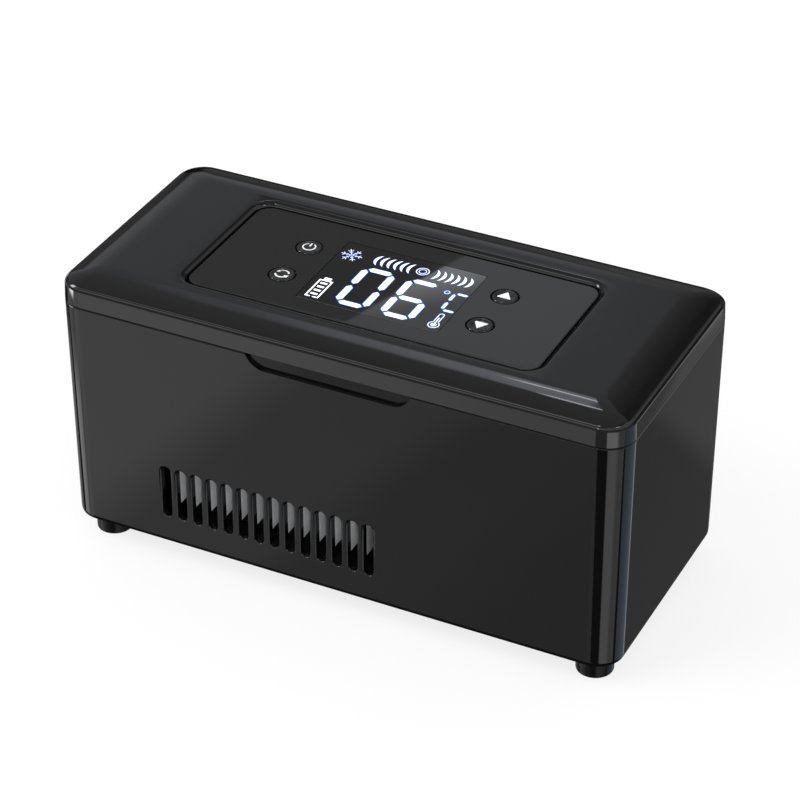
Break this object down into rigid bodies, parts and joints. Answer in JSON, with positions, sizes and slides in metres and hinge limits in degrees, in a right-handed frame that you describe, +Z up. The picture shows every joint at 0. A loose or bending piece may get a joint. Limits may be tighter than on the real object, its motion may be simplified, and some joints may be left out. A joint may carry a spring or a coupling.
{
  "type": "insulin cooling case",
  "caption": "Glossy box-shaped cooling case for insulin pens on round feet, with front vent slots and a hinged lid that carries a lit control panel with push buttons.",
  "frame": {"origin": "on the floor under the middle of the case", "axes": "+X along the case to the right seen from the front, +Y to the back where the hinges are, +Z up"},
  "size_m": [0.21, 0.0966, 0.1069],
  "materials": {
    "gloss_black": "high-gloss moulded plastic",
    "panel_black": "polished acrylic overlay",
    "display_black": "smoked clear acrylic",
    "button_black": "moulded plastic with white signs",
    "base_black": "fine-textured moulded plastic",
    "foot_rubber": "satin rubber",
    "deck_grey": "satin moulded plastic",
    "tub_aluminium": "satin drawn sheet",
    "fin_aluminium": "extruded",
    "foam_white": "expanded foam",
    "gasket_rubber": "soft seal",
    "steel": "plated",
    "module_ceramic": "ceramic plates",
    "display_glass": "display stack",
    "board_green": "lacquered circuit board",
    "cell_sleeve": "sleeved cell",
    "fan_black": "moulded plastic"
  },
  "bodies": {
    "case": {"body_shell": "gloss_black", "base_plate": "base_black", "foot_front_left": "foot_rubber", "foot_front_right": "foot_rubber", "foot_rear_right": "foot_rubber", "foot_rear_left": "foot_rubber", "foot_screw_front_left": "steel", "foot_screw_front_right": "steel", "foot_screw_rear_right": "steel", "foot_screw_rear_left": "steel", "heat_sink": "fin_aluminium", "fan_frame": "fan_black", "mid_tray": "base_black", "peltier_module": "module_ceramic", "cold_block": "fin_aluminium", "temperature_sensor": "base_black", "inner_tub": "tub_aluminium", "insulation_block": "foam_white", "top_deck": "deck_grey", "gasket": "gasket_rubber", "deck_magnet_left": "steel", "deck_magnet_right": "steel", "battery_tray": "base_black", "battery_cell_1": "cell_sleeve", "battery_cell_2": "cell_sleeve", "battery_cell_3": "cell_sleeve", "main_board": "board_green", "dc_socket": "base_black", "hinge_pin_left": "steel", "hinge_pin_right": "steel"},
    "fan": {"fan_rotor": "fan_black"},
    "lid": {"lid_cover": "gloss_black", "lid_liner": "deck_grey", "lid_insulation": "foam_white", "lid_screw_front_left": "steel", "lid_screw_front_right": "steel", "lid_screw_rear_right": "steel", "lid_screw_rear_left": "steel", "lid_magnet_left": "steel", "lid_magnet_right": "steel", "control_panel": "panel_black", "display_window": "display_black", "display_module": "display_glass", "control_board": "board_green", "power_switch": "steel", "mode_switch": "steel", "up_switch": "steel", "down_switch": "steel"},
    "power_key": {"power_button": "button_black"},
    "mode_key": {"mode_button": "button_black"},
    "up_key": {"up_button": "button_black"},
    "down_key": {"down_button": "button_black"}
  },
  "joints": [
    {"name": "lid_hinge", "type": "hinge", "parent": "case", "child": "lid", "pos_m": [0, 0.0457, 0.0972], "axis": [-1, 0, 0], "range_deg": [0, 100]},
    {"name": "fan_spin", "type": "hinge", "parent": "case", "child": "fan", "pos_m": [-0.0252, 0, 0.0172], "axis": [0, 0, 1], "continuous": true},
    {"name": "power_press", "type": "slide", "parent": "lid", "child": "power_key", "axis": [0, 0, -1], "range_m": [0, 0.0005], "stiffness_N_per_m": 1000, "springref_m": -0.0003},
    {"name": "mode_press", "type": "slide", "parent": "lid", "child": "mode_key", "axis": [0, 0, -1], "range_m": [0, 0.0005], "stiffness_N_per_m": 1000, "springref_m": -0.0003},
    {"name": "up_press", "type": "slide", "parent": "lid", "child": "up_key", "axis": [0, 0, -1], "range_m": [0, 0.0005], "stiffness_N_per_m": 1000, "springref_m": -0.0003},
    {"name": "down_press", "type": "slide", "parent": "lid", "child": "down_key", "axis": [0, 0, -1], "range_m": [0, 0.0005], "stiffness_N_per_m": 1000, "springref_m": -0.0003}
  ]
}
